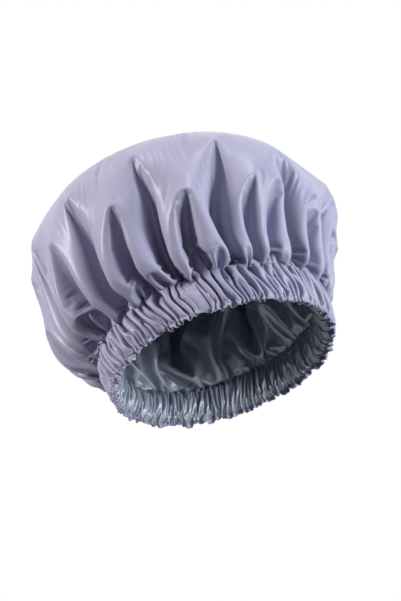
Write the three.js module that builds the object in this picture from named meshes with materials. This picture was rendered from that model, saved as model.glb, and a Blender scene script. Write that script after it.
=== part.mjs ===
// A bouffant shower cap: a waterproof outer shell and a satin lining, sewn together along two rows
// that leave a casing round the hem, with a loop of elastic running free inside the casing.
// Millimetres, +Z up. The origin is the centre of the hem, on the plane the hem stands on.
// The front of the cap faces -Y, and the elastic's ends are joined at the rear, on +Y.
import * as THREE from 'three';

// Elastic: the relaxed length of its inner face round the loop, its section and the lap of its ends
const ELASTIC_LOOP = 500;
const ELASTIC_WIDTH = 20;
const ELASTIC_THICKNESS = 1.2;
const ELASTIC_LAP = 18;

// Fabrics and thread
const SHELL_THICKNESS = 0.6;
const LINING_THICKNESS = 0.5;
const THREAD_DIAMETER = 0.5;

// Hem and casing
const HEM_ROW_HEIGHT = 4;
const CASING_TAPER = 3;
const ELASTIC_EASE = 0.4;
const GATHER_DEPTH = 5;
const ROW_GATHER_DEPTH = 2.4;

// Crown. The leans are rises per millimetre towards +X of the soft crown's shoulder and of its foot,
// which grows from the casing row to LEAN_FOOT_END and turns into the shoulder's over LEAN_TURN.
const CROWN_RADIUS = 118;
const EQUATOR_HEIGHT = 105;
const CAP_HEIGHT = 169;
const CROWN_FULLNESS = 2.3;
const WAIST_CURVE = 1.3;
const SHOULDER_LEAN = -0.08;
const FOOT_LEAN = 0.06;
const LEAN_FOOT_END = 0.7;
const LEAN_TURN = 0.5;
const LINING_SLACK = 5;

// The room left between pieces that touch
const CLEARANCE = 0.35;

// Crown positions run from the casing row at 0 through the equator at 1 to the top at 2.
// Folds are deepest at the knee.
const CROWN_STEPS = [0.36, 0.6, 0.8, 1, 1.18, 1.46, 1.74];
const KNEE = 0.6;
const FOLD_DEPTH = 22;
const FADE_BELOW_KNEE = 0.9;

// The crown's main folds, anticlockwise from the left: degrees from +X where the fold meets the casing
// and where it fades out, the crown position where it fades out, and its share of the greatest depth.
// The photograph shows those from -164 to -16, and those round the rear are like them.
const FOLDS = [
  [-164, -173, 1.05, 0.75],
  [-150, -158, 1.05, 0.5],
  [-135, -141, 1.1, 0.86],
  [-122, -124, 1.1, 0.88],
  [-99, -99, 1.25, 0.86],
  [-87, -88, 0.93, 0.74],
  [-68, -67, 1.12, 0.8],
  [-36, -44, 1.22, 0.95],
  [-16, -13, 1.02, 0.64],
  [4, 11, 1.16, 0.68],
  [36, 36, 1.1, 0.95],
  [54, 55, 1.04, 0.95],
  [81, 81, 1.16, 0.82],
  [99, 99, 1.05, 0.82],
  [126, 126, 1.22, 0.95],
  [143, 143, 1.06, 0.9],
  [166, 165, 1.2, 0.8],
];

// Each fold has a crest on either side of it, in degrees, and folds that are near share one midway
const CREST_APART = 5.5;
const SHARED_GAP = 23;

// Elastic join
const JOIN_STITCHES = 7;
const JOIN_MARGIN = 3;
const LAP_RAMP = 0.35;
const BAND_STEPS = 80;
const REAR = Math.PI / 2;

// The radial stack through the casing, from the inside outwards
const ELASTIC_IN = ELASTIC_LOOP / (2 * Math.PI);
const ELASTIC_OUT = ELASTIC_IN + ELASTIC_THICKNESS;
const LAP_IN = ELASTIC_OUT + CLEARANCE;
const LAP_OUT = LAP_IN + ELASTIC_THICKNESS;
const JOIN_RADIUS = LAP_OUT + CLEARANCE + THREAD_DIAMETER / 2;
const CHANNEL_OUT = JOIN_RADIUS + THREAD_DIAMETER / 2 + CLEARANCE;
const CHANNEL_IN = ELASTIC_IN - CLEARANCE;

// Both fabrics meet at the two stitch rows, midway through the channel
const ROW_SHELL_IN = (CHANNEL_IN + CHANNEL_OUT + CLEARANCE) / 2;
const ROW_SHELL_OUT = ROW_SHELL_IN + SHELL_THICKNESS;
const ROW_LINING_OUT = ROW_SHELL_IN - CLEARANCE;
const ROW_LINING_IN = ROW_LINING_OUT - LINING_THICKNESS;
const ROW_TURN_OUT = ROW_LINING_IN - CLEARANCE;
const ROW_TURN_IN = ROW_TURN_OUT - SHELL_THICKNESS;

// Heights up the casing
const CHANNEL_LOW = HEM_ROW_HEIGHT + CASING_TAPER;
const ELASTIC_LOW = CHANNEL_LOW + ELASTIC_EASE;
const CHANNEL_HIGH = ELASTIC_LOW + ELASTIC_WIDTH + ELASTIC_EASE;
const CASING_ROW_HEIGHT = CHANNEL_HIGH + CASING_TAPER;

// A thread lies in the groove of its row, clear of the fabric that rises on either side of it
const THREAD_STANDOFF = THREAD_DIAMETER + CLEARANCE;

function smooth(t) {
  const clamped = Math.min(1, Math.max(0, t));
  return clamped * clamped * (3 - 2 * clamped);
}

// Where a fold runs at crown position `u`, and how deep it is there
function foldAngle([foot, tip, top], u) {
  return foot + (tip - foot) * smooth(u / top);
}

function foldDepth([, , top, share], u) {
  if (u >= top) return 0;
  const fade = u > KNEE ? Math.sqrt((top - u) / (top - KNEE)) : 1 - FADE_BELOW_KNEE * (KNEE - u);
  return FOLD_DEPTH * share * fade;
}

// The columns of points round the cap: the valley of each fold, then the crests up to the next fold
function makeColumns() {
  const columns = [];
  FOLDS.forEach((fold, i) => {
    const last = i === FOLDS.length - 1;
    const next = last ? [FOLDS[0][0] + 360, FOLDS[0][1] + 360, ...FOLDS[0].slice(2)] : FOLDS[i + 1];
    columns.push({ valley: true, angle: (u) => foldAngle(fold, u), depth: (u) => foldDepth(fold, u) });
    if (next[0] - fold[0] <= SHARED_GAP) {
      columns.push({ angle: (u) => (foldAngle(fold, u) + foldAngle(next, u)) / 2, depth: () => 0 });
    } else {
      columns.push({ angle: (u) => foldAngle(fold, u) + CREST_APART, depth: () => 0 });
      columns.push({ angle: (u) => foldAngle(next, u) - CREST_APART, depth: () => 0 });
    }
  });
  return columns;
}

const COLUMNS = makeColumns();
const SIDES = COLUMNS.length;

// The point at an angle in degrees and a radius
function polar(angle, radius, z) {
  const turn = THREE.MathUtils.degToRad(angle);
  return new THREE.Vector3(radius * Math.cos(turn), radius * Math.sin(turn), z);
}

// One ring of gathers. `gather` is half the distance from valley to crest.
function ring(r, z, gather) {
  return COLUMNS.map((column) => polar(column.angle(0), column.valley ? r - gather : r + gather, z));
}

// A ring of the crown, `inset` inside the shell's outer face
function crownRing(u, inset) {
  const waist = ROW_SHELL_OUT;
  const power = 2 / CROWN_FULLNESS;
  const turn = (u * Math.PI) / 2;
  let r = waist + (CROWN_RADIUS - waist - inset) * Math.sin(turn) ** WAIST_CURVE;
  let z = EQUATOR_HEIGHT - (EQUATOR_HEIGHT - CASING_ROW_HEIGHT - inset) * Math.cos(turn);
  if (u > 1) {
    r = (CROWN_RADIUS - inset) * Math.sin(turn) ** power;
    z = EQUATOR_HEIGHT + (CAP_HEIGHT - EQUATOR_HEIGHT - inset) * (-Math.cos(turn)) ** power;
  }
  const high = smooth((u - KNEE) / LEAN_TURN);
  const lean = smooth(u / LEAN_FOOT_END) * (FOOT_LEAN * (1 - high) + SHOULDER_LEAN * high);
  return COLUMNS.map((column) => {
    const point = polar(column.angle(u), r - column.depth(u), z);
    point.z += lean * point.x;
    return point;
  });
}

// The crown from its top down to the casing row, `inset` inside the shell's outer face
function crownRings(inset) {
  const top = [new THREE.Vector3(0, 0, CAP_HEIGHT - inset)];
  const rings = [...CROWN_STEPS].reverse().map((u) => crownRing(u, inset));
  return [top, ...rings];
}

// A closed body through a list of rings that runs down its outside and up its inside.
// A ring of one point closes a crown, and `loop` joins the last ring to the first.
// Each four-sided patch is split from its upper crest to its lower valley, so that layers nest.
function body(rings, loop) {
  const positions = [];
  const face = (a, b, c) => {
    positions.push(a.x, a.y, a.z, b.x, b.y, b.z, c.x, c.y, c.z);
  };
  const pairs = loop ? rings.length : rings.length - 1;
  for (let k = 0; k < pairs; k += 1) {
    const upper = rings[k];
    const lower = rings[(k + 1) % rings.length];
    for (let i = 0; i < SIDES; i += 1) {
      const j = (i + 1) % SIDES;
      if (upper.length === 1) {
        face(upper[0], lower[i], lower[j]);
      } else if (lower.length === 1) {
        face(upper[i], lower[0], upper[j]);
      } else if (!COLUMNS[i].valley === (upper[0].z >= lower[0].z)) {
        face(upper[i], lower[i], lower[j]);
        face(upper[i], lower[j], upper[j]);
      } else {
        face(upper[i], lower[i], upper[j]);
        face(lower[i], lower[j], upper[j]);
      }
    }
  }
  const geometry = new THREE.BufferGeometry();
  geometry.setAttribute('position', new THREE.Float32BufferAttribute(positions, 3));
  geometry.computeVertexNormals();
  return geometry;
}

const GATHER = GATHER_DEPTH / 2;
const ROW_GATHER = ROW_GATHER_DEPTH / 2;

// Rings of the shell's casing, from the casing row down to the hem row. The valleys of the gathers
// clear the elastic, and the crests stand out from it.
function shellCasing(inset) {
  const row = ROW_SHELL_OUT - inset;
  const wall = CHANNEL_OUT + SHELL_THICKNESS + GATHER - inset;
  return [
    ring(row, CASING_ROW_HEIGHT + inset, ROW_GATHER),
    ring(wall, CHANNEL_HIGH, GATHER),
    ring(wall, CHANNEL_LOW, GATHER),
    ring(row, HEM_ROW_HEIGHT, ROW_GATHER),
  ];
}

// Rings of the lining's casing, `inset` inside its outer face. Its gathers hang inwards.
function liningCasing(inset) {
  const row = ROW_LINING_OUT - inset;
  const wall = CHANNEL_IN - GATHER - inset;
  const rowHeight = CASING_ROW_HEIGHT + SHELL_THICKNESS + CLEARANCE + inset;
  return [
    ring(row, rowHeight, ROW_GATHER),
    ring(wall, CHANNEL_HIGH, GATHER),
    ring(wall, CHANNEL_LOW, GATHER),
    ring(row, HEM_ROW_HEIGHT, ROW_GATHER),
  ];
}

// The shell: the crown, the casing wall, and the hem turned up inside over the lining's edge
function outerShell() {
  const turnTop = CHANNEL_IN - GATHER - LINING_THICKNESS - CLEARANCE;
  const hem = [
    ring(ROW_SHELL_OUT, 0, ROW_GATHER),
    ring(ROW_TURN_IN, 0, ROW_GATHER),
    ring(ROW_TURN_IN, HEM_ROW_HEIGHT, ROW_GATHER),
    ring(turnTop - SHELL_THICKNESS, CHANNEL_LOW, GATHER),
    ring(turnTop, CHANNEL_LOW, GATHER),
    ring(ROW_TURN_OUT, HEM_ROW_HEIGHT, ROW_GATHER),
    ring(ROW_TURN_OUT, SHELL_THICKNESS, ROW_GATHER),
    ring(ROW_SHELL_IN, SHELL_THICKNESS, ROW_GATHER),
  ];
  return body([
    ...crownRings(0),
    ...shellCasing(0),
    ...hem,
    ...shellCasing(SHELL_THICKNESS).reverse(),
    ...crownRings(SHELL_THICKNESS).reverse(),
  ], false);
}

// The lining hangs inside the shell, and its lower edge is tucked into the fold of the hem
function satinLining() {
  const inset = SHELL_THICKNESS + LINING_SLACK;
  const edge = SHELL_THICKNESS + CLEARANCE;
  return body([
    ...crownRings(inset),
    ...liningCasing(0),
    ring(ROW_LINING_OUT, edge, ROW_GATHER),
    ring(ROW_LINING_IN, edge, ROW_GATHER),
    ...liningCasing(LINING_THICKNESS).reverse(),
    ...crownRings(inset + LINING_THICKNESS).reverse(),
  ], false);
}

// The thread of one side of a stitch row, a ring of diamond section
function rowThread(r, z) {
  const half = THREAD_DIAMETER / 2;
  return body([
    ring(r, z + half, ROW_GATHER),
    ring(r + half, z, ROW_GATHER),
    ring(r, z - half, ROW_GATHER),
    ring(r - half, z, ROW_GATHER),
  ], true);
}

// Plan radius of the elastic's inner face, which climbs onto its own other end at the lap
function bandRadius(turned) {
  const climb = (turned - (2 * Math.PI - LAP_RAMP)) / LAP_RAMP;
  const t = Math.min(1, Math.max(0, climb));
  return ELASTIC_IN + (LAP_IN - ELASTIC_IN) * t * t * (3 - 2 * t);
}

const LAP_ANGLE = ELASTIC_LAP / ELASTIC_OUT;
const LAP_START = REAR - LAP_ANGLE / 2;

// One strip of elastic, its plan outline drawn on edge and extruded up through its width
function elasticBand() {
  const inner = [];
  const outer = [];
  const whole = 2 * Math.PI + LAP_ANGLE;
  for (let i = 0; i <= BAND_STEPS; i += 1) {
    const turned = (i / BAND_STEPS) * whole;
    const angle = LAP_START + turned;
    const along = new THREE.Vector2(Math.cos(angle), Math.sin(angle));
    inner.push(along.clone().multiplyScalar(bandRadius(turned)));
    outer.push(along.clone().multiplyScalar(bandRadius(turned) + ELASTIC_THICKNESS));
  }
  const outline = new THREE.Shape([...outer, ...inner.reverse()]);
  const geometry = new THREE.ExtrudeGeometry(outline, { depth: ELASTIC_WIDTH, bevelEnabled: false });
  geometry.translate(0, 0, ELASTIC_LOW);
  return geometry;
}

// A zigzag of thread over the lap, up and down across the elastic's width
function elasticJoinThread() {
  const points = [];
  const margin = JOIN_MARGIN / JOIN_RADIUS;
  const bends = JOIN_STITCHES * 2;
  for (let i = 0; i <= bends; i += 1) {
    const angle = LAP_START + margin + (LAP_ANGLE - 2 * margin) * (i / bends);
    const z = i % 2 === 0 ? ELASTIC_LOW + JOIN_MARGIN : ELASTIC_LOW + ELASTIC_WIDTH - JOIN_MARGIN;
    points.push(new THREE.Vector3(JOIN_RADIUS * Math.cos(angle), JOIN_RADIUS * Math.sin(angle), z));
  }
  const path = new THREE.CatmullRomCurve3(points, false, 'centripetal');
  const section = new THREE.Shape();
  section.absarc(0, 0, THREAD_DIAMETER / 2, 0, 2 * Math.PI, false);
  return new THREE.ExtrudeGeometry(section, {
    steps: bends * 5, curveSegments: 3, bevelEnabled: false, extrudePath: path,
  });
}

const MATERIALS = {
  shell_fabric: new THREE.MeshStandardMaterial({ name: 'shell_fabric', color: 0xa9a6c2, roughness: 0.45 }),
  satin: new THREE.MeshStandardMaterial({ name: 'satin', color: 0x8f9aa2, roughness: 0.28 }),
  elastic: new THREE.MeshStandardMaterial({ name: 'elastic', color: 0xe8e6e2, roughness: 0.85 }),
  thread: new THREE.MeshStandardMaterial({ name: 'thread', color: 0x9693b0, roughness: 0.6 }),
};

const cap = new THREE.Group();

function add(name, geometry, material) {
  const mesh = new THREE.Mesh(geometry, MATERIALS[material]);
  mesh.name = name;
  cap.add(mesh);
}

const BOBBIN_RADIUS = ROW_LINING_IN - THREAD_STANDOFF - THREAD_DIAMETER / 2;
const BOBBIN_HEIGHT = CASING_ROW_HEIGHT + SHELL_THICKNESS + CLEARANCE + LINING_THICKNESS;

add('outer_shell', outerShell(), 'shell_fabric');
add('satin_lining', satinLining(), 'satin');
add('elastic_band', elasticBand(), 'elastic');
add('elastic_join_thread', elasticJoinThread(), 'thread');
add('casing_needle_thread', rowThread(ROW_SHELL_OUT + THREAD_STANDOFF, CASING_ROW_HEIGHT), 'thread');
add('casing_bobbin_thread', rowThread(BOBBIN_RADIUS, BOBBIN_HEIGHT), 'thread');
add('hem_needle_thread', rowThread(ROW_SHELL_OUT + THREAD_STANDOFF, HEM_ROW_HEIGHT), 'thread');
add('hem_bobbin_thread', rowThread(ROW_TURN_IN - THREAD_STANDOFF, HEM_ROW_HEIGHT), 'thread');

export default cap;
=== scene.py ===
# Shower cap: gathered shell, satin lining, elastic and stitching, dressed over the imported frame.
# Metres in Blender, millimetres inside the cloth maker, +Z up, front towards -Y.
import math

import bpy
import numpy as np
from mathutils import Matrix, Vector


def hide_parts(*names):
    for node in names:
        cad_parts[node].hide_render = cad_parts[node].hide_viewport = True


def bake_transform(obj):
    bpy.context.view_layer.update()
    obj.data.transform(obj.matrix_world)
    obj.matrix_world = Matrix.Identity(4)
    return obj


MM = 0.001
# Guards against division by zero, for lengths and for directions, and a radius past all others
TINY = 1e-6
TINIER = 1e-9
FAR = 1e3

# Envelope of the crown's ridges, as the CAD's crown: widest radius and its height, the top, how square the
# upper outline is and how drawn in the lower one, and the casing row
CROWN_R = 118.0
EQUATOR_Z = 105.0
TOP_Z = 169.0
SQUARENESS = 2.3
WAIST = 1.3
ROW_R = 83.0
ROW_Z = 30.8
OUTLINE_STEPS = 2000

# How far the crown's cloth may stand out or sink in from the envelope, and its least room past the stitches
STAND_OUT = 2.0
SINK_IN = 32.0
ROW_ROOM = 6.0

# Casing and hem: lower stitch row, fold of the hem, the elastic's channel and the cloth's least radius
HEM_ROW_Z = 4.0
FOLD_Z = 0.4
CHANNEL_OUT = 83.4
CHANNEL_IN = 79.0
CHANNEL_EDGE = 3.0
STITCHED_R = 78.5
LOOP_CLEAR = 81.7
# Degrees round the cap where the channel is wider for the elastic's lap, and half the width of that stretch
LAP_AT = 92
LAP_HALF = 18
# Most radius of the casing's cloth at its upper row, how much less at the lower one, and its puff between
MOST_R = 87.5
MOST_TAPER = 2.5
PUFF_OUT = 4.6
PUFF_POWER = 0.7

# Casing cloth: gather, also in the smooth panels and added in the frill, slack, bending, pressure and twist
GATHER = 2.6
PANEL_GATHER = 1.1
FRILL_GATHER = 0.08
CASING_SLACK = 1.04
CASING_BEND = 0.05
PUFF = 0.0010
TWIST = math.radians(5)
# Broad smooth panels between the ruffles: angle in degrees, half width; and how much they calm the ruffles
PANELS = [(-95, 7), (-55, 4), (-146, 3), (-12, 4), (35, 5), (96, 6), (150, 4)]
PANEL_CALM = 0.95

# Waves that start the ruffles: least and most round the casing, and how many are added up
SEED = 7
RUFFLES = (24, 76)
RUFFLE_WAVES = 60
# Finer waves near the hem, with their share and where on the way down they set in
FINE_RUFFLES = (70, 120)
FINE_WAVES = 40
FINE_SHARE = 0.35
FINE_FROM = 0.7
FINE_OVER = 0.2
# Drift of the waves on their way down, their depth, and where between least and most radius they start
RUFFLE_DRIFT = 1.6
RUFFLE_DEPTH = 3.2
RUFFLE_START = 0.35

# Uneven flare of the frill: range of waves, how many, how soft, and what it adds to least and most radius
FLARES = (9, 46)
FLARE_WAVES = 30
FLARE_SOFT = 12
FLARE_SEED = SEED + 3
FLARE_LOW = 2.4
FLARE_HIGH = 4.4
# Lift of the frill's flaps, and how often and how far its calmer stretches are evened
FLAP_LIFT = 2.4
FLAP_SEED = SEED + 4
FRILL_EVENED = 24
FRILL_CALM = 0.8
CALM_SEED = SEED + 6
# Hem's edge turned up inside: inset beside the frill and at its fold, then rises and insets above the hem row
TURN_IN = 0.9
FOLD_IN = 0.45
TURN_EVENED = 6
TURN_STEPS = [(1.2, 1.3), (2.4, 1.9), (3.4, 2.4)]
STEPS_EVENED = 10

# Lean of the crown: tilt above and below its widest height, and the heights over which it sets in and turns
LEAN_HIGH = -0.08
LEAN_LOW = 0.06
LEAN_FOOT = 25.0
LEAN_TURNS = 30.0
LEAN_TURNED = 50.0
# Shift to the side above and below, and the heights over which it sets in and turns
LEAN_SIDE_HIGH = 1.5
LEAN_SIDE_LOW = -3.5
SIDE_FOOT = 18.0
SIDE_TURNS_Z = 60.0
SIDE_TURNED = 40.0

# Elastic strip, as in the CAD: inner radius, thickness, foot, width, and its lapped ends at the rear
BAND_IN = 79.58
BAND_THICK = 1.2
BAND_LOW = 7.4
BAND_WIDE = 20.0
LAP_LENGTH = 18
LAP_STEP = 1.55
LAP_RAMP = 0.35
LAP_ANGLE = LAP_LENGTH / (BAND_IN + BAND_THICK)
# Its ribs, points across each, their depth, how far the faces sink for them, and the rounded edges
BAND_RIBS = 11
RIB_POINTS = 6
RIB_DEPTH = 0.09
RIB_SINK = 0.1
EDGE_ROUND = 0.6
EDGE_LEFT = 0.35
BAND_STEPS = 520

# Lockstitches: length, thread radius and how high a stitch stands
STITCH = 3.0
THREAD_R = 0.24
STITCH_LIFT = 0.3
# A stitch's bare ends, points along and round it, reach for its direction, its rise and its thinner ends
STITCH_ENDS = 0.06
STITCH_POINTS = 7
THREAD_SIDES = 6
STITCH_REACH = 0.4
RISE_POWER = 0.6
RISE_SINK = 0.6
THIN_ENDS = 0.55
# Side of the cloth that a row of stitches stands on
OUTSIDE = 1
INSIDE = -1

# Cloth grid: columns and rows, the crown's first row, and how its rows draw together towards the casing
COLUMNS = 768
HEM_COLUMNS = 2 * COLUMNS
CROWN_ROWS = 160
CROWN_START = 4.0
ROWS_CLOSER = 0.35
CASING_ROWS = 29
FRILL_ROWS = 4

# Fullness of the crown's cloth: its share of what a flat round has to spare, where along the meridian that
# sets in and over which way, its most, and how it eases towards the casing row
FULLER = 1.5
SMOOTH_TOP = 118.0
SMOOTH_OUT = 100.0
MOST_FULLNESS = 2.8
ROW_EASE = 0.18
ROW_EASE_OVER = 30.0

# Settling: stiffness of the diagonals, share of each correction that is taken, passes in a step, least angle
# between columns, and the share of their motion that crown and hem carry into the next step
SHEAR_PULL = 0.8
SHEAR_PUSH = 0.6
RELAX = 0.34
PASSES = 2
LEAST_TURN = 1e-4
CROWN_CARRY = 0.9
HEM_CARRY = 0.85
# Crown from coarse to fine: steps, pressure and bending; the level of the short folds; the coarsest step
LEVELS = [(600, 0.0008, 0.02), (400, 0.0004, 0.01), (250, 0.0001, 0.005)]
SHORT_LEVEL = 1
COARSEST = 4
# Casing from coarse to fine: step of the grid, steps of settling
HEM_LEVELS = [(2, 260), (1, 130)]
# Meridian distances that are held at the crown's top and foot, and how the held top's rim is eased afterwards
HELD_TOP = 60.0
HELD_FOOT = 0.1
TOP_EASED = 80
EASED_FROM = 30.0
EASED_TO = 80.0
EASED_OVER = 20.0

# Lining's crown: size against the shell's, fullness, bending, evening, steps, gap to the shell and least room
LINING_SHARE = 0.965
LINING_FULLNESS = 1.15
LINING_BEND = 0.9
LINING_SMOOTH = 60
LINING_STEPS = (300, 120)
LINING_GAP = 1.0
LEAST_ROOM = 40.0
# Lining's rows against the shell's: inset and rise at the casing row, inset at the hem row
LINING_IN = 0.8
LINING_UP = 0.6
LINING_FOOT_IN = 0.45
# Lining between the stitch rows: middle radius, start and narrowing of its pleats, bending, pull and steps
LINING_R = 76.0
PLEAT_SEED = SEED + 5
PLEAT_START = 1.9
PLEAT_POWER = 0.35
PLEAT_NARROW = 0.06
PLEAT_BEND = 0.35
PLEAT_PULL = -0.0008
PLEAT_STEPS = 160
# Map of the room inside the shell: lowest height, height of a row, rows, and a column for each degree
MAP_LOW = 20.0
MAP_STEP = 2.0
MAP_ROWS = 76
MAP_COLUMNS = 360

# Long folds: angle at the casing, angle at the tip, meridian distance of the tip, depth
FOLDS = [
    (-164, -178, 162, 11), (-152, -164, 150, 10), (-135, -147, 164, 10), (-122, -131, 158, 12),
    (-109, -117, 180, 8), (-94, -104, 142, 19), (-84, -90, 188, 10), (-68, -75, 142, 16),
    (-36, -48, 146, 14), (-16, -12, 160, 9), (4, 12, 152, 11), (36, 35, 148, 12),
    (54, 55, 160, 11), (81, 82, 150, 12), (99, 98, 158, 11), (126, 125, 146, 13),
    (144, 145, 162, 10), (166, 165, 150, 12),
]
# Short folds that start nearer the casing, in the same terms
SHORT_FOLDS = [
    (-144, -148, 196, 6), (-129, -130, 200, 5), (-102, -106, 200, 5), (-75, -76, 184, 8),
    (-59, -60, 196, 6), (-51, -54, 188, 6), (-44, -48, 200, 6), (-25, -24, 196, 6),
    (-6, -3, 198, 5), (15, 18, 188, 6), (25, 26, 196, 6), (45, 45, 194, 6),
    (63, 64, 188, 6), (72, 72, 198, 5), (90, 90, 194, 6), (108, 107, 188, 6),
    (117, 117, 198, 5), (135, 135, 194, 6), (154, 155, 190, 6), (178, 177, 194, 6),
]
# Way over which a fold deepens from its tip, its easing at the foot, and its width, first and added by depth
FOLD_GROW = 40.0
FOOT_EASE = 0.8
FOOT_OVER = 22.0
FOLD_WIDTH = 5.5
FOLD_WIDER = 2.0

# Camera: degrees below the hem's plane, roll, distance, lens, sensor and the point it aims at across its view
CAMERA_DROP = 27.3
CAMERA_ROLL = 19.5
CAMERA_AWAY = 1.2
CAMERA_LENS = 98.8
CAMERA_SENSOR = 36
CAMERA_AIM = (-0.0184, 0.0493)

# Darkest and palest shade of each material, and where on the noise they lie
SHELL_SHADES = ((0.37, 0.36, 0.50), (0.42, 0.41, 0.56))
SATIN_SHADES = ((0.34, 0.38, 0.45), (0.45, 0.49, 0.57))
THREAD_SHADES = ((0.33, 0.32, 0.45), (0.42, 0.4, 0.55))
ELASTIC_SHADES = ((0.62, 0.6, 0.56), (0.72, 0.7, 0.66))
SHADE_ENDS = (0.3, 0.7)
# Finish of each material
SHELL_FINISH = {"roughness": 0.37, "sheen": 0.25, "crinkle": 0.25, "weave": 0.15}
SATIN_FINISH = {
    "roughness": 0.34, "sheen": 0.1, "crinkle": 0.2, "weave": 0.05, "metallic": 0.12, "specular": 0.5,
}
THREAD_FINISH = {"ridges": 900.0, "roughness": 0.5}
ELASTIC_FINISH = {"ridges": 260.0, "roughness": 0.6}
# Heights of crinkles, woven threads and spun ridges in the bump, in metres, and the ridges' strength
CRINKLE_HEIGHT = 0.0012
WEAVE_HEIGHT = 0.00006
RIDGE_HEIGHT = 0.0001
RIDGE_STRENGTH = 0.5
SHEEN_ROUGH = 0.4
SPUN_SHEEN = 0.3

# Lamps: name, place, aim, size, power and colour
LAMPS = [
    ("key", (-1.1, -0.8, 0.65), (0, 0, 0.08), 0.45, 20, (1.0, 0.97, 0.955)),
    ("fill", (1.04, -0.6, -0.27), (0, 0, 0.02), 0.4, 9, (0.93, 0.95, 1.0)),
    ("side", (1.31, -0.13, -0.31), (0, 0, 0.08), 0.6, 9, (0.9, 0.93, 1.0)),
    ("top", (0.62, -0.7, 1.06), (0, 0, 0.1), 0.6, 8, (1.0, 0.98, 0.97)),
]
AMBIENT = 0.05
AMBIENT_COLOUR = (0.78, 0.84, 1, 1)
FLOOR_HALF = 2
FLOOR_COLOUR = (0.82, 0.82, 0.83, 1)
FLOOR_ROUGH = 0.8


# The envelope's outline from the top (0) to the casing row, by distance along the meridian
def meridian():
    turn = np.linspace(0, math.pi / 2, OUTLINE_STEPS)
    power = 2 / SQUARENESS
    upper_r = CROWN_R * np.sin(turn) ** power
    upper_z = EQUATOR_Z + (TOP_Z - EQUATOR_Z) * np.cos(turn) ** power
    lower_r = ROW_R + (CROWN_R - ROW_R) * np.cos(turn) ** WAIST
    lower_z = EQUATOR_Z - (EQUATOR_Z - ROW_Z) * np.sin(turn)
    r = np.concatenate([upper_r, lower_r[1:]])
    z = np.concatenate([upper_z, lower_z[1:]])
    s = np.concatenate([[0], np.cumsum(np.hypot(np.diff(r), np.diff(z)))])
    return s, r, z


MERIDIAN = meridian()
CROWN_LENGTH = MERIDIAN[0][-1]


def envelope(s):
    return np.interp(s, MERIDIAN[0], MERIDIAN[1]), np.interp(s, MERIDIAN[0], MERIDIAN[2])


def smooth(t):
    t = np.clip(t, 0, 1)
    return t * t * (3 - 2 * t)


# A flat-topped bump: 1 in the middle, and next to nothing past 1 and -1
def plateau(t):
    return np.exp(-(t ** 4))


# The same angle between minus and plus half a turn
def wrapped(angle):
    return (angle + math.pi) % (2 * math.pi) - math.pi


def column_angles(columns):
    return np.arange(columns) * 2 * math.pi / columns


# Distance of each point from the axis
def radius(X):
    return np.sqrt(X[0] ** 2 + X[1] ** 2)


# Grid of points from radii by row and column, the columns' angles and the rows' heights
def around(r, angle, z):
    return np.stack([r * np.cos(angle), r * np.sin(angle), np.repeat(z[:, None], len(angle), 1)])


# Turns points round the axis
def turned(X, angle):
    c, k = np.cos(angle), np.sin(angle)
    return np.stack([X[0] * c - X[1] * k, X[0] * k + X[1] * c, X[2]])


# Evens out a closed curve, or a grid round its columns
def evened(X, times):
    for _ in range(times):
        X = (np.roll(X, 1, -1) + X + np.roll(X, -1, -1)) / 3
    return X


# How much wider the cloth is than the envelope: nothing over the top, where it lies smooth, then more and
# more of what a flat round has to spare, and a little less again at the casing row
def fullness(s):
    round_cut = s / envelope(s)[0]
    eased = FULLER * smooth((s - SMOOTH_TOP) / SMOOTH_OUT)
    full = np.clip(1 + (round_cut - 1) * eased, 1, MOST_FULLNESS)
    return full * (1 - ROW_EASE * smooth((s - CROWN_LENGTH + ROW_EASE_OVER) / ROW_EASE_OVER))


# One sweep of a set of threads between the grid X and its shifted copy
def tension(X, Y, rest, pull, push):
    d = Y - X
    length = np.sqrt((d * d).sum(0)) + TINY
    strain = (length - rest) / length
    strain = np.where(strain > 0, strain * pull, strain * push)
    return d * (0.5 * strain)


def normals(X):
    a = np.roll(X, -1, 2) - np.roll(X, 1, 2)
    b = np.empty_like(X)
    b[:, 1:-1] = X[:, 2:] - X[:, :-2]
    b[:, 0] = X[:, 1] - X[:, 0]
    b[:, -1] = X[:, -1] - X[:, -2]
    n = np.cross(b, a, axis=0)
    return n / (np.sqrt((n * n).sum(0)) + TINIER)


# Settles a grid of cloth (3, rows, columns), closed round its columns
def settle(X, across, along, held, steps, pressure, bend, carry, limit):
    X = X.astype(np.float32)
    last = X.copy()
    row_across = across if across.ndim == 2 else across[:, None]
    row_along = along[:, None]
    held = np.flatnonzero(held)
    fixed = X[:, held].copy()
    diagonal = np.sqrt(((row_across[:-1] + row_across[1:]) / 2) ** 2 + row_along ** 2)
    for _ in range(steps):
        now = X.copy()
        X = X + (X - last) * carry + normals(X) * pressure
        last = now
        for _ in range(PASSES):
            move = np.zeros_like(X)
            right = np.roll(X, -1, 2)
            c = tension(X, right, row_across, 1.0, 1.0)
            move += c - np.roll(c, 1, 2)
            c = tension(X[:, :-1], X[:, 1:], row_along, 1.0, 1.0)
            move[:, :-1] += c
            move[:, 1:] -= c
            c = tension(X[:, :-1], right[:, 1:], diagonal, SHEAR_PULL, SHEAR_PUSH)
            move[:, :-1] += c
            move[:, 1:] -= np.roll(c, 1, 2)
            c = tension(right[:, :-1], X[:, 1:], diagonal, SHEAR_PULL, SHEAR_PUSH)
            move[:, :-1] += np.roll(c, 1, 2)
            move[:, 1:] -= c
            c = tension(X, np.roll(X, -2, 2), 2 * row_across, 0.0, bend)
            move += c - np.roll(c, 2, 2)
            c = tension(X[:, :-2], X[:, 2:], row_along[:-1] + row_along[1:], 0.0, bend)
            move[:, :-2] += c
            move[:, 2:] -= c
            X = X + move * RELAX
            X[:, held] = fixed
        X = limit(untangle(X))
        X[:, held] = fixed
    return X


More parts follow.
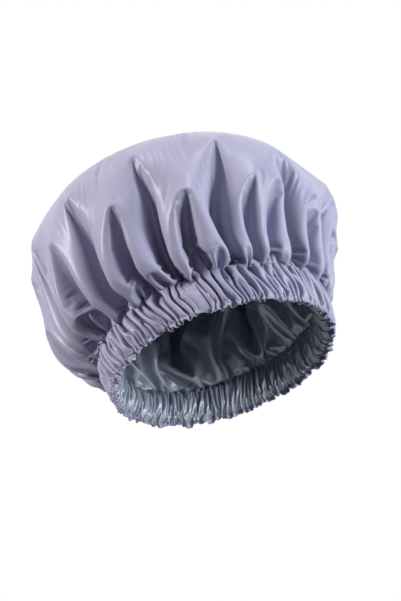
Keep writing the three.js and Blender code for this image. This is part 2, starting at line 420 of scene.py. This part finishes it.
# Pushes columns that come too close apart round the axis, so that folds keep their order
def untangle(X):
    a = np.arctan2(X[1], X[0])
    lack = np.maximum(LEAST_TURN - wrapped(np.roll(a, -1, 1) - a), 0) / 2
    return turned(X, np.roll(lack, 1, 1) - lack)


def upsample(X, rows, columns):
    y = np.linspace(0, X.shape[1] - 1, rows)
    low = np.minimum(y.astype(int), X.shape[1] - 2)
    t = (y - low)[None, :, None]
    X = X[:, low] * (1 - t) + X[:, low + 1] * t
    n = X.shape[2]
    x = np.arange(columns) * n / columns
    low = x.astype(int)
    t = (x - low)[None, None, :]
    return X[:, :, low] * (1 - t) + X[:, :, (low + 1) % n] * t


# How far the given folds push the cloth in, over the rows and columns
def pushed(folds, s, angle, r):
    depth_map = np.zeros((len(s), len(angle)))
    foot = 1 - FOOT_EASE * smooth((s - CROWN_LENGTH + FOOT_OVER) / FOOT_OVER)
    for base, tip, start, depth in folds:
        t = smooth((s - start) / (CROWN_LENGTH - start))
        way = np.radians(tip + (base - tip) * t)[:, None]
        off = wrapped(angle[None] - way)
        grow = (smooth((s - start) / FOLD_GROW) * foot)[:, None]
        width = FOLD_WIDTH + FOLD_WIDER * grow
        depth_map += depth * grow * np.exp(-((off * r[:, None] / width) ** 2))
    return depth_map


# The crown before it settles: the envelope with its long folds pushed in
def seeded(s, angle):
    r, z = envelope(s)
    return around(r[:, None] - pushed(FOLDS, s, angle, r), angle, z)


# Meridian distances of the crown's rows, closer together towards the casing
def crown_rows(rows):
    t = np.linspace(0, 1, rows)
    return CROWN_START + (CROWN_LENGTH - CROWN_START) * ((1 + ROWS_CLOSER) * t - ROWS_CLOSER * t * t)


# The rows' meridian distances, and the cloth's lengths across the columns and along the rows
def grid_rest(rows, columns):
    s = crown_rows(rows)
    r = envelope(s)[0]
    across = r * fullness(s) * 2 * math.pi / columns
    along = np.diff(s)
    return s, across.astype(np.float32), along.astype(np.float32)


# Rows that stay in place while a crown settles: its smooth top and its sewn foot
def held_rows(s):
    return (s < HELD_TOP) | (s > CROWN_LENGTH - HELD_FOOT)


# Keeps the cloth near the crown's envelope
def inside(X):
    r = envelope(crown_rows(X.shape[1]))[0]
    now = radius(X) + TINY
    most = np.maximum(r, STITCHED_R + ROW_ROOM)[:, None] + STAND_OUT
    least = r[:, None] - SINK_IN
    X[:2] *= np.clip(now, least, most) / now
    return X


# The crown, settled from coarse to fine, sewn at its foot to the casing row, and eased round its held top
def crown(row):
    rows, columns = CROWN_ROWS // COARSEST, COLUMNS // COARSEST
    s, across, along = grid_rest(rows, columns)
    X = seeded(s, column_angles(columns))
    for level, (steps, pressure, bend) in enumerate(LEVELS):
        if level == SHORT_LEVEL:
            X[:2] *= 1 - pushed(SHORT_FOLDS, s, column_angles(columns), envelope(s)[0]) / radius(X)
        if level > 0:
            X[:, -1] = row[:, ::HEM_COLUMNS // columns]
        X = settle(X, across, along, held_rows(s), steps, pressure, bend, CROWN_CARRY, inside)
        if level < len(LEVELS) - 1:
            rows, columns = rows * 2, columns * 2
            X = upsample(X, rows, columns)
            s, across, along = grid_rest(rows, columns)
    near = smooth((s - EASED_FROM) / EASED_OVER) * (1 - smooth((s - EASED_TO) / EASED_OVER))
    for _ in range(TOP_EASED):
        X[:, 1:-1] += near[1:-1, None] * ((X[:, :-2] + X[:, 2:]) / 2 - X[:, 1:-1])
    return X


# Waves that start the ruffles: they drift on their way down the casing, and finer ones join them near the hem
def ripple(angle, down, seed):
    chance = np.random.default_rng(seed)
    total = np.zeros((len(down), len(angle)))
    fine = FINE_SHARE * smooth((down - FINE_FROM) / FINE_OVER)
    broad = np.ones(len(down))
    for low, high, count, share in [(*RUFFLES, RUFFLE_WAVES, broad), (*FINE_RUFFLES, FINE_WAVES, fine)]:
        for _ in range(count):
            waves = chance.integers(low, high)
            phase = chance.random() * 2 * math.pi
            drift = chance.normal() * RUFFLE_DRIFT
            wave = np.cos(waves * angle[None] + phase + drift * down[:, None])
            total += share[:, None] * wave / math.sqrt(count / 2)
    return total * (1 - PANEL_CALM * panels(angle))


# Share of a broad smooth panel at each angle, from 0 to 1
def panels(angle):
    share = np.zeros(len(angle))
    for at, half in PANELS:
        off = (np.degrees(angle) - at + 180) % 360 - 180
        share = np.maximum(share, plateau(off / half))
    return share


# Uneven flare of the hem's frill round the opening, from 0 to 1
def flare(angle, seed):
    chance = np.random.default_rng(seed)
    total = np.zeros(len(angle))
    for _ in range(FLARE_WAVES):
        total += np.cos(chance.integers(*FLARES) * angle + chance.random() * 2 * math.pi)
    return smooth(0.5 + total / FLARE_SOFT)


# Whether a height lies in the elastic's channel, clear of the stitch rows
def in_channel(z):
    return (z > HEM_ROW_Z + CHANNEL_EDGE) & (z < ROW_Z - CHANNEL_EDGE)


# Cloth of the casing from its upper stitch row to the fold of the hem, gathered round the elastic
def gathered():
    rows = CASING_ROWS + FRILL_ROWS
    z = np.concatenate([
        np.linspace(ROW_Z, HEM_ROW_Z, CASING_ROWS),
        np.linspace(HEM_ROW_Z, FOLD_Z, FRILL_ROWS + 1)[1:],
    ])
    between = np.clip((ROW_Z - z) / (ROW_Z - HEM_ROW_Z), 0, 1)
    below = np.clip((HEM_ROW_Z - z) / (HEM_ROW_Z - FOLD_Z), 0, 1)
    puffed = np.sin(math.pi * between) ** PUFF_POWER
    most = MOST_R - MOST_TAPER * between + PUFF_OUT * puffed
    X = None
    for step, steps in HEM_LEVELS:
        columns = HEM_COLUMNS // step
        level = z[::step]
        angle = column_angles(columns)
        loose = below[::step, None] * flare(angle, FLARE_SEED)[None]
        lap = plateau((np.degrees(angle) - LAP_AT) / LAP_HALF)
        clear = LOOP_CLEAR + (CHANNEL_OUT - LOOP_CLEAR) * lap[None]
        low = np.where(in_channel(level)[:, None], clear, STITCHED_R)
        low = low + FLARE_LOW * loose
        high = most[::step, None] + FLARE_HIGH * loose
        if X is None:
            down = (ROW_Z - level) / (ROW_Z - FOLD_Z)
            r = low + RUFFLE_START * (high - low) + RUFFLE_DEPTH * ripple(angle, down, SEED)
            X = around(r, angle, level)
        else:
            X = upsample(X, rows, columns)
        across = 2 * math.pi * CHANNEL_OUT / columns * (1 + FRILL_GATHER * below[::step, None])
        across = across * (GATHER - (GATHER - PANEL_GATHER) * panels(angle)[None])
        along = -np.diff(level) * CASING_SLACK
        across, along = across.astype(np.float32), along.astype(np.float32)
        stitched = [0, (CASING_ROWS - 1) // step]

        def limit(Y):
            r = radius(Y)
            Y[:2] *= np.clip(r, low, high) / r
            Y[2][stitched] = level[stitched][:, None]
            Y[2] = np.maximum(Y[2], FOLD_Z)
            return Y

        held = np.zeros(len(level), bool)
        X = settle(X, across, along, held, steps, PUFF, CASING_BEND, HEM_CARRY, limit)
    calm = evened(X, FRILL_EVENED)
    X = X + (calm - X) * FRILL_CALM * below[:, None] * flare(angle, CALM_SEED)[None]
    X[2] += FLAP_LIFT * below[:, None] * flare(angle, FLAP_SEED)[None]
    return turned(X, TWIST * smooth(between)[:, None])


# Moves a closed plan curve sideways, outwards for a positive distance
def offset(curve, distance):
    along = np.roll(curve[:2], -1, 1) - np.roll(curve[:2], 1, 1)
    along = along / np.sqrt((along ** 2).sum(0))
    out = curve.copy()
    out[0] += along[1] * distance
    out[1] -= along[0] * distance
    return out


def spacing(curve):
    d = np.roll(curve, -1, 1) - curve
    return np.sqrt((d ** 2).sum(0)).mean()


# Lining between the two stitch rows, bulging inwards round the elastic with the rows' ruffles
def lining_casing(top, bottom):
    t = np.linspace(0, 1, CASING_ROWS)
    bulge = np.sin(math.pi * t)
    X = top[:, None] * (1 - t[None, :, None]) + bottom[:, None] * t[None, :, None]
    r = radius(X)
    middle = LINING_R + PLEAT_START * ripple(column_angles(HEM_COLUMNS), t, PLEAT_SEED)
    share = bulge[:, None] ** PLEAT_POWER
    X[:2] *= (r + (middle - r) * share) / r
    wide = np.linspace(spacing(top), spacing(bottom), CASING_ROWS)
    wide *= 1 - PLEAT_NARROW * bulge
    tall = np.sqrt((np.diff(X, axis=1) ** 2).sum(0)).mean(1)
    held = np.zeros(CASING_ROWS, bool)
    held[[0, -1]] = True
    wide, tall = wide.astype(np.float32), tall.astype(np.float32)
    X = settle(X, wide, tall, held, PLEAT_STEPS, PLEAT_PULL, PLEAT_BEND, HEM_CARRY, clear_inside)
    X[:, 1:-1] = evened(X, 1)[:, 1:-1]
    return X


# Keeps the lining clear of the elastic, on the inner side of its channel
def clear_inside(X):
    r = radius(X)
    most = np.where(in_channel(X[2]), CHANNEL_IN, FAR)
    X[:2] *= np.minimum(r, most) / r
    return X


# The hem's edge turned up inside: it follows the frill back up, then stands behind the lining's foot
def turned_hem(frill):
    fold = frill.shape[1] - 1
    rows = []
    for k in range(fold, -1, -1):
        inset = TURN_IN if k < fold else FOLD_IN
        rows.append(evened(offset(frill[:, k], -inset), TURN_EVENED))
    for rise, inset in TURN_STEPS:
        out = evened(offset(frill[:, 0], -inset), STEPS_EVENED)
        out[2] = HEM_ROW_Z + rise
        rows.append(out)
    return np.stack(rows, 1)


# Row and column of the room map at each point
def map_cells(X):
    z = ((X[2] - MAP_LOW) / MAP_STEP).astype(int).clip(0, MAP_ROWS - 1)
    a = np.degrees(np.arctan2(X[1], X[0])).astype(int) % MAP_COLUMNS
    return z, a


# Least radius of the shell by height and angle, which the lining stays inside
def room_map(shell):
    room = np.full((MAP_ROWS, MAP_COLUMNS), FAR)
    np.minimum.at(room, map_cells(shell), radius(shell))
    best = room.copy()
    for dz in (-1, 0, 1):
        for da in (-1, 0, 1):
            best = np.minimum(best, np.roll(np.roll(room, dz, 0), da, 1))
    return best


# The lining's crown hangs inside the shell with softer folds, sewn at its foot to the casing row
def lining_crown(shell, row):
    room = room_map(shell)
    X = evened(shell[:, ::COARSEST, ::COARSEST], LINING_SMOOTH)
    X[:2] *= LINING_SHARE
    X[2] = ROW_Z + (X[2] - ROW_Z) * LINING_SHARE

    def limit(Y):
        r = radius(Y) + TINY
        most = np.maximum(room[map_cells(Y)] - LINING_GAP, LEAST_ROOM)
        Y[:2] *= np.minimum(r, most) / r
        return Y

    for steps in LINING_STEPS:
        rows, columns = X.shape[1:]
        s, across, along = grid_rest(rows, columns)
        X[:, -1] = row[:, ::HEM_COLUMNS // columns]
        full = LINING_SHARE * np.minimum(1, LINING_FULLNESS / fullness(s))
        across = (across * full).astype(np.float32)
        X = settle(X, across, along * LINING_SHARE, held_rows(s), steps, 0.0, LINING_BEND, CROWN_CARRY, limit)
        X = upsample(X, 2 * rows, 2 * columns)
    X = limit(X)
    X[:, -1] = row[:, ::HEM_COLUMNS // COLUMNS]
    return X


# Leans the crown a little, as a soft cap stands
def leaned(X):
    foot = smooth((X[2] - ROW_Z) / LEAN_FOOT)
    high = smooth((X[2] - ROW_Z - LEAN_TURNS) / LEAN_TURNED)
    out = X.copy()
    out[2] += X[0] * foot * (LEAN_LOW * (1 - high) + LEAN_HIGH * high)
    upper = smooth((X[2] - SIDE_TURNS_Z) / SIDE_TURNED)
    lower = smooth((X[2] - ROW_Z) / SIDE_FOOT) * (1 - upper)
    out[0] += LEAN_SIDE_HIGH * upper + LEAN_SIDE_LOW * lower
    return out


def grid_faces(count, columns, first):
    row = first + np.arange(count - 1)[:, None] * columns
    col = np.arange(columns)[None]
    after = (col + 1) % columns
    faces = np.stack([row + col, row + columns + col, row + columns + after, row + after], -1)
    return faces.reshape(-1, 4).tolist()


# Places on the flat round of cloth that a grid was cut from
def disc(s, columns):
    angle = column_angles(columns)
    return (s[:, None, None] * np.stack([np.cos(angle), np.sin(angle)], -1)[None]).reshape(-1, 2)


# One sheet: the crown's grid without its last row, and the hem's grid of twice the columns below it
def sheet_object(name, crown_grid, hem_grid, material, below):
    columns = crown_grid.shape[2]
    upper = crown_grid[:, :-1]
    points = np.concatenate([np.moveaxis(g, 0, -1).reshape(-1, 3) for g in (upper, hem_grid)])
    tip = crown_grid[:, 0].mean(1)
    points = np.concatenate([points, tip[None]]) * MM
    faces = grid_faces(upper.shape[1], columns, 0)
    start = upper.shape[1] * columns
    faces += grid_faces(hem_grid.shape[1], 2 * columns, start)
    last = start - columns
    for i in range(columns):
        j = (i + 1) % columns
        a, b, c = start + 2 * i, start + 2 * i + 1, start + 2 * j
        faces += [[last + i, a, b], [last + i, b, last + j], [last + j, b, c]]
        faces.append([len(points) - 1, i, j])
    flat = [disc(crown_rows(len(crown_grid[0]))[:-1], columns), disc(CROWN_LENGTH + below, 2 * columns)]
    flat = np.concatenate(flat + [np.zeros((1, 2))]) * MM
    return mesh_object(name, points, faces, material, flat)


def mesh_object(name, points, faces, material, flat=None):
    mesh = bpy.data.meshes.new(name)
    mesh.from_pydata(points.tolist(), [], faces)
    mesh.shade_smooth()
    mesh.materials.append(material)
    if flat is not None:
        corner = np.zeros(len(mesh.loops), np.int32)
        mesh.loops.foreach_get("vertex_index", corner)
        layer = mesh.uv_layers.new(name="flat")
        layer.data.foreach_set("uv", flat[corner].astype(np.float32).ravel())
    piece = bpy.data.objects.new(name, mesh)
    bpy.context.collection.objects.link(piece)
    return piece


# Stitches along a closed row, each a short thread that rises from the cloth and dips back into it
def stitches(name, row, side, material):
    closed = np.concatenate([row, row[:, :1]], 1)
    length = np.concatenate([[0], np.cumsum(np.sqrt((np.diff(closed, axis=1) ** 2).sum(0)))])

    def on_row(place):
        return np.stack([np.interp(place, length, closed[k]) for k in range(3)])

    count = int(round(length[-1] / STITCH))
    t = np.linspace(STITCH_ENDS, 1 - STITCH_ENDS, STITCH_POINTS)
    at = ((np.arange(count)[:, None] + t[None]) * length[-1] / count).ravel()
    path = on_row(at)
    ahead = on_row((at + STITCH_REACH) % length[-1]) - path
    ahead /= np.sqrt((ahead ** 2).sum(0)) + TINIER
    out = np.stack([ahead[1], -ahead[0], np.zeros(len(at))]) * side
    rise = np.tile(np.sin(math.pi * (t - STITCH_ENDS) / (1 - 2 * STITCH_ENDS)) ** RISE_POWER, count)
    path = path + out * (STITCH_LIFT * (2 * rise - RISE_SINK))
    angle = column_angles(THREAD_SIDES)
    thin = THREAD_R * (THIN_ENDS + (1 - THIN_ENDS) * rise)
    ring = out[:, :, None] * np.cos(angle) + np.array([0, 0, 1.0])[:, None, None] * np.sin(angle)
    points = np.moveaxis(path[:, :, None] + ring * thin[None, :, None], 0, -1).reshape(-1, 3) * MM
    faces = []
    for k in range(count):
        first = k * STITCH_POINTS * THREAD_SIDES
        last = first + (STITCH_POINTS - 1) * THREAD_SIDES
        for start in range(first, last, THREAD_SIDES):
            for j in range(THREAD_SIDES):
                a, b = start + j, start + (j + 1) % THREAD_SIDES
                faces.append([a, b, b + THREAD_SIDES, a + THREAD_SIDES])
        faces.append([first + j for j in reversed(range(THREAD_SIDES))])
        faces.append([last + j for j in range(THREAD_SIDES)])
    return mesh_object(name, points, faces, material)


# Ribbed elastic strip that climbs onto its own other end at the rear
def elastic_strip(name, material):
    wide = np.linspace(0, 1, RIB_POINTS * BAND_RIBS + 1)
    rib = RIB_DEPTH * np.cos(2 * math.pi * BAND_RIBS * wide)
    edge = np.minimum(1, np.minimum(wide, 1 - wide) * BAND_WIDE / EDGE_ROUND) ** 0.5
    half = (BAND_THICK / 2 - RIB_SINK + rib) * (EDGE_LEFT + (1 - EDGE_LEFT) * edge)
    over = np.concatenate([half, -half[::-1]])
    level = BAND_LOW + BAND_WIDE * np.concatenate([wide, wide[::-1]])
    way = np.linspace(0, 2 * math.pi + LAP_ANGLE, BAND_STEPS)
    climb = smooth((way - (2 * math.pi - LAP_RAMP)) / LAP_RAMP)
    angle = math.pi / 2 - LAP_ANGLE / 2 + way
    r = (BAND_IN + BAND_THICK / 2 + LAP_STEP * climb)[:, None] + over[None]
    points = np.stack([
        r * np.cos(angle)[:, None], r * np.sin(angle)[:, None], np.repeat(level[None], len(angle), 0),
    ], -1).reshape(-1, 3) * MM
    n = len(over)
    faces = grid_faces(len(angle), n, 0)
    faces.append(list(range(n)))
    faces.append([len(points) - 1 - i for i in range(n)])
    return mesh_object(name, points, faces, material)


# A new material, its node tree and its shader
def new_material(name):
    m = bpy.data.materials.new(name)
    m.use_nodes = True
    return m, m.node_tree, m.node_tree.nodes["Principled BSDF"]


def texture(tree, kind, vector, **inputs):
    node = tree.nodes.new(kind)
    tree.links.new(vector, node.inputs["Vector"])
    for name, value in inputs.items():
        node.inputs[name].default_value = value
    return node


def scaled(tree, vector, factors):
    node = tree.nodes.new("ShaderNodeMapping")
    tree.links.new(vector, node.inputs["Vector"])
    node.inputs["Scale"].default_value = factors
    return node.outputs["Vector"]


def bump(tree, height, strength, distance, under=None):
    node = tree.nodes.new("ShaderNodeBump")
    node.inputs["Strength"].default_value = strength
    node.inputs["Distance"].default_value = distance
    tree.links.new(height, node.inputs["Height"])
    if under is not None:
        tree.links.new(under, node.inputs["Normal"])
    return node.outputs["Normal"]


def ramp(tree, factor, shades):
    node = tree.nodes.new("ShaderNodeValToRGB")
    tree.links.new(factor, node.inputs["Fac"])
    for element, shade, end in zip(node.color_ramp.elements, shades, SHADE_ENDS):
        element.color = (*shade, 1)
        element.position = end
    return node.outputs["Color"]


# Plain-woven cloth: thread by thread weave, soft crinkles and a faint change of shade
def woven(name, shades, roughness, sheen, crinkle, weave, metallic=0.0, specular=0.3):
    m, tree, shader = new_material(name)
    flat = tree.nodes.new("ShaderNodeUVMap")
    flat.uv_map = "flat"
    place = flat.outputs["UV"]
    shade = texture(tree, "ShaderNodeTexNoise", place, Scale=26.0, Detail=4.0, Roughness=0.6)
    tree.links.new(ramp(tree, shade.outputs["Fac"], shades), shader.inputs["Base Color"])
    folds = texture(tree, "ShaderNodeTexNoise", place, Scale=70.0, Detail=3.0, Roughness=0.45)
    normal = bump(tree, folds.outputs["Fac"], crinkle, CRINKLE_HEIGHT)
    for turn in ((1, 0, 0), (0, 1, 0)):
        axis = scaled(tree, place, turn)
        thread = texture(tree, "ShaderNodeTexWave", axis, Scale=320.0, Distortion=0.0)
        thread.wave_type = "BANDS"
        thread.bands_direction = "DIAGONAL"
        normal = bump(tree, thread.outputs["Fac"], weave, WEAVE_HEIGHT, normal)
    tree.links.new(normal, shader.inputs["Normal"])
    shader.inputs["Roughness"].default_value = roughness
    shader.inputs["Sheen Weight"].default_value = sheen
    shader.inputs["Sheen Roughness"].default_value = SHEEN_ROUGH
    shader.inputs["Metallic"].default_value = metallic
    shader.inputs["Specular IOR Level"].default_value = specular
    return m


# Thread and elastic: fine ridges over a faintly mottled colour
def spun(name, shades, ridges, roughness):
    m, tree, shader = new_material(name)
    place = tree.nodes.new("ShaderNodeTexCoord").outputs["Object"]
    shade = texture(tree, "ShaderNodeTexNoise", place, Scale=180.0, Detail=3.0)
    tree.links.new(ramp(tree, shade.outputs["Fac"], shades), shader.inputs["Base Color"])
    lay = texture(tree, "ShaderNodeTexWave", place, Scale=ridges, Distortion=0.6)
    lay.bands_direction = "DIAGONAL"
    normal = bump(tree, lay.outputs["Fac"], RIDGE_STRENGTH, RIDGE_HEIGHT)
    tree.links.new(normal, shader.inputs["Normal"])
    shader.inputs["Roughness"].default_value = roughness
    shader.inputs["Sheen Weight"].default_value = SPUN_SHEEN
    return m


def area_light(name, place, aim, size, power, colour):
    light = bpy.data.lights.new(name, "AREA")
    light.shape = "DISK"
    light.size = size
    light.energy = power
    light.color = colour
    o = bpy.data.objects.new(name, light)
    bpy.context.collection.objects.link(o)
    o.location = place
    o.rotation_euler = (Vector(aim) - Vector(place)).to_track_quat("-Z", "Y").to_euler()


# Camera below the hem's plane, rolled, and aimed beside the origin so that the cap sits as in the photograph
def make_camera():
    drop = math.radians(CAMERA_DROP)
    roll = math.radians(CAMERA_ROLL)
    ahead = Vector((0, math.cos(drop), math.sin(drop)))
    level = Vector((1, 0, 0))
    above = Vector((0, -math.sin(drop), math.cos(drop)))
    cam_x = level * math.cos(roll) - above * math.sin(roll)
    cam_y = level * math.sin(roll) + above * math.cos(roll)
    place = ahead * -CAMERA_AWAY
    aim = cam_x * CAMERA_AIM[0] + cam_y * CAMERA_AIM[1]
    back = (place - aim).normalized()
    side = cam_y.cross(back).normalized()
    top = back.cross(side)
    data = bpy.data.cameras.new("camera")
    data.lens = CAMERA_LENS
    data.sensor_width = CAMERA_SENSOR
    camera = bpy.data.objects.new("camera", data)
    bpy.context.collection.objects.link(camera)
    camera.matrix_world = Matrix((
        (side.x, top.x, back.x, place.x),
        (side.y, top.y, back.y, place.y),
        (side.z, top.z, back.z, place.z),
        (0, 0, 0, 1),
    ))
    bpy.context.scene.camera = camera


# Pale floor that only the camera sees, and only from above: all other rays pass through it
def make_floor():
    half = FLOOR_HALF
    mesh = bpy.data.meshes.new("floor")
    corners = [(-half, -half, 0), (half, -half, 0), (half, half, 0), (-half, half, 0)]
    mesh.from_pydata(corners, [], [(0, 1, 2, 3)])
    plane = bpy.data.objects.new("floor", mesh)
    bpy.context.collection.objects.link(plane)
    look, tree, shader = new_material("floor_look")
    shader.inputs["Base Color"].default_value = FLOOR_COLOUR
    shader.inputs["Roughness"].default_value = FLOOR_ROUGH
    path = tree.nodes.new("ShaderNodeLightPath")
    geometry = tree.nodes.new("ShaderNodeNewGeometry")
    shown = tree.nodes.new("ShaderNodeMath")
    shown.operation = "SUBTRACT"
    shown.use_clamp = True
    tree.links.new(path.outputs["Is Camera Ray"], shown.inputs[0])
    tree.links.new(geometry.outputs["Backfacing"], shown.inputs[1])
    clear = tree.nodes.new("ShaderNodeBsdfTransparent")
    pick = tree.nodes.new("ShaderNodeMixShader")
    tree.links.new(shown.outputs[0], pick.inputs[0])
    tree.links.new(clear.outputs[0], pick.inputs[1])
    tree.links.new(shader.outputs[0], pick.inputs[2])
    tree.links.new(pick.outputs[0], tree.nodes["Material Output"].inputs["Surface"])
    mesh.materials.append(look)
    return plane


# World that is white to the camera, in reflections and through glass, and dim as a light
def make_world():
    world = bpy.data.worlds.new("world")
    bpy.context.scene.world = world
    world.use_nodes = True
    nodes = world.node_tree.nodes
    links = world.node_tree.links
    nodes.clear()
    path = nodes.new("ShaderNodeLightPath")
    seen = path.outputs["Is Camera Ray"]
    for ray in ("Is Glossy Ray", "Is Transmission Ray"):
        most = nodes.new("ShaderNodeMath")
        most.operation = "MAXIMUM"
        links.new(seen, most.inputs[0])
        links.new(path.outputs[ray], most.inputs[1])
        seen = most.outputs[0]
    white = nodes.new("ShaderNodeBackground")
    white.inputs["Color"].default_value = (1, 1, 1, 1)
    white.inputs["Strength"].default_value = 1.0
    dim = nodes.new("ShaderNodeBackground")
    dim.inputs["Color"].default_value = AMBIENT_COLOUR
    dim.inputs["Strength"].default_value = AMBIENT
    mix = nodes.new("ShaderNodeMixShader")
    links.new(seen, mix.inputs[0])
    links.new(dim.outputs[0], mix.inputs[1])
    links.new(white.outputs[0], mix.inputs[2])
    out = nodes.new("ShaderNodeOutputWorld")
    links.new(mix.outputs[0], out.inputs[0])


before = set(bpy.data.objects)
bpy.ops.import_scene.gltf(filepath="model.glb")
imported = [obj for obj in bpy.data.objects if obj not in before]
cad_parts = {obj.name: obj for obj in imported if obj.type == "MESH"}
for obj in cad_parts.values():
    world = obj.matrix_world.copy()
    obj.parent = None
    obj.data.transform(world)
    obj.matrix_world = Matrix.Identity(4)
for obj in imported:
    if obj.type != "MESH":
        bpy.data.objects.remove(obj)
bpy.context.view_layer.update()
make_camera()

# Looks
shell_cloth = woven("shell_fabric_look", SHELL_SHADES, **SHELL_FINISH)
satin = woven("satin_look", SATIN_SHADES, **SATIN_FINISH)
thread_look = spun("thread_look", THREAD_SHADES, **THREAD_FINISH)
elastic_look = spun("elastic_look", ELASTIC_SHADES, **ELASTIC_FINISH)

# Shell
hem_cloth = gathered()
upper_row = hem_cloth[:, 0]
lower_row = hem_cloth[:, CASING_ROWS - 1]
shell_crown = crown(upper_row)
shell_hem = np.concatenate([hem_cloth, turned_hem(hem_cloth[:, CASING_ROWS - 1:])], 1)
casing_down = np.linspace(0, ROW_Z - HEM_ROW_Z, CASING_ROWS)
turn_down = casing_down[-1] + np.arange(1, shell_hem.shape[1] - CASING_ROWS + 1)
shell = sheet_object("shell", leaned(shell_crown), shell_hem, shell_cloth, np.append(casing_down, turn_down))
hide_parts("outer_shell")

# Lining
lining_top = offset(upper_row, -LINING_IN)
lining_top[2] += LINING_UP
lining_bottom = offset(lower_row, -LINING_FOOT_IN)
lining_foot = lining_casing(lining_top, lining_bottom)
lining_upper = leaned(lining_crown(shell_crown, lining_top))
lining = sheet_object("lining", lining_upper, lining_foot, satin, casing_down)
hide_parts("satin_lining")

# Elastic
elastic = elastic_strip("elastic", elastic_look)
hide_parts("elastic_band")

# Stitching: the last row lies on the turned edge, level with the hem row
pieces = [shell, lining, elastic]
turned_row = shell_hem[:, CASING_ROWS + 2 * FRILL_ROWS]
stitch_rows = [
    ("casing_stitches", upper_row, OUTSIDE, "casing_needle_thread"),
    ("casing_stitches_inside", lining_top, INSIDE, "casing_bobbin_thread"),
    ("hem_stitches", lower_row, OUTSIDE, "hem_needle_thread"),
    ("hem_stitches_inside", turned_row, INSIDE, "hem_bobbin_thread"),
]
for name, row, side, node in stitch_rows:
    piece = stitches(name, row, side, thread_look)
    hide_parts(node)
    pieces.append(piece)
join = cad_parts["elastic_join_thread"]
join.data.materials.clear()
join.data.materials.append(thread_look)

# Bake each piece's transform into its mesh
for piece in pieces:
    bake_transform(piece)

# Stage
for lamp in LAMPS:
    area_light(*lamp)
floor = make_floor()
make_world()

bpy.context.scene.view_settings.view_transform = "Standard"
